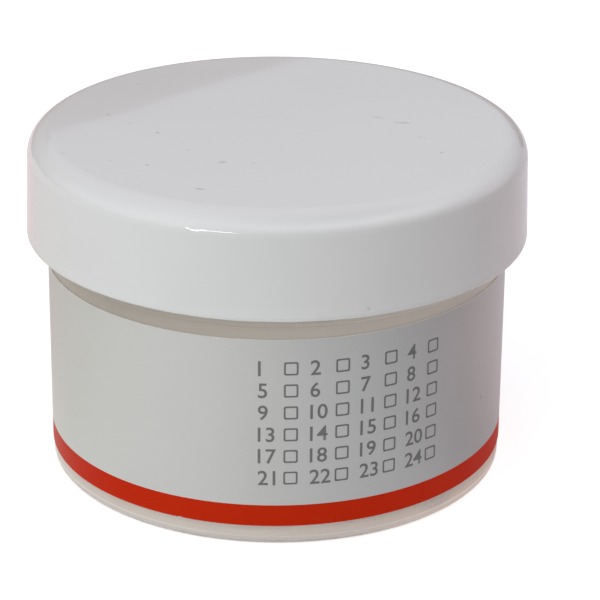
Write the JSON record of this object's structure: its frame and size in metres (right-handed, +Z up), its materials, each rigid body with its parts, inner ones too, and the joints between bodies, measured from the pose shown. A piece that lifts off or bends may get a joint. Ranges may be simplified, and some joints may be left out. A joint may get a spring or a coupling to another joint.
{
  "type": "hearing aid drying cup",
  "caption": "Round plastic drying cup with a screw lid, a wrapped label, a slotted tray insert on legs and a drying capsule of silica beads below it.",
  "frame": {"origin": "centre of the base, on the surface that the cup stands on", "axes": "+Z up along the jar's axis, -Y towards the pictured front, the label's seam at +Y"},
  "size_m": [0.077, 0.077, 0.053],
  "materials": {
    "cup_plastic": "natural translucent polypropylene, satin",
    "lid_plastic": "white polypropylene, glossy",
    "liner_foam": "white polyethylene foam",
    "label_film": "silver-grey printed film, satin",
    "stripe_print": "red print on film, satin",
    "insert_plastic": "white polypropylene, satin",
    "clear_plastic": "clear polystyrene, polished",
    "capsule_plastic": "white polypropylene, semi-gloss",
    "membrane_fleece": "white non-woven fleece",
    "silica": "orange silica gel beads"
  },
  "bodies": {
    "cup": {"cup": "cup_plastic", "label": "label_film", "label_stripe": "stripe_print"},
    "liner": {"lid_liner": "liner_foam"},
    "lid": {"lid": "lid_plastic"},
    "insert": {"sieve_insert": "insert_plastic"},
    "capsule": {"capsule_tub": "clear_plastic", "capsule_cover": "capsule_plastic", "capsule_membrane": "membrane_fleece", "silica_beads": "silica"}
  },
  "joints": [
    {"name": "lid_lift", "type": "slide", "parent": "cup", "child": "liner", "axis": [0, 0, 1], "range_m": [0, 0.08]},
    {"name": "lid_turn", "type": "hinge", "parent": "liner", "child": "lid", "pos_m": [0, 0, 0.0514], "axis": [0, 0, 1], "range_deg": [0, 1800]},
    {"name": "insert_lift", "type": "slide", "parent": "cup", "child": "insert", "axis": [0, 0, 1], "range_m": [0, 0.072]},
    {"name": "capsule_lift", "type": "slide", "parent": "cup", "child": "capsule", "axis": [0, 0, 1], "range_m": [0, 0.052]}
  ],
  "couplings": [
    {"joint": "lid_lift", "follows": "lid_turn", "m_per_rad": 0.0025465},
    {"joint": "insert_lift", "follows": "lid_turn", "m_per_rad": 0.0022918},
    {"joint": "capsule_lift", "follows": "lid_turn", "m_per_rad": 0.0016552}
  ]
}
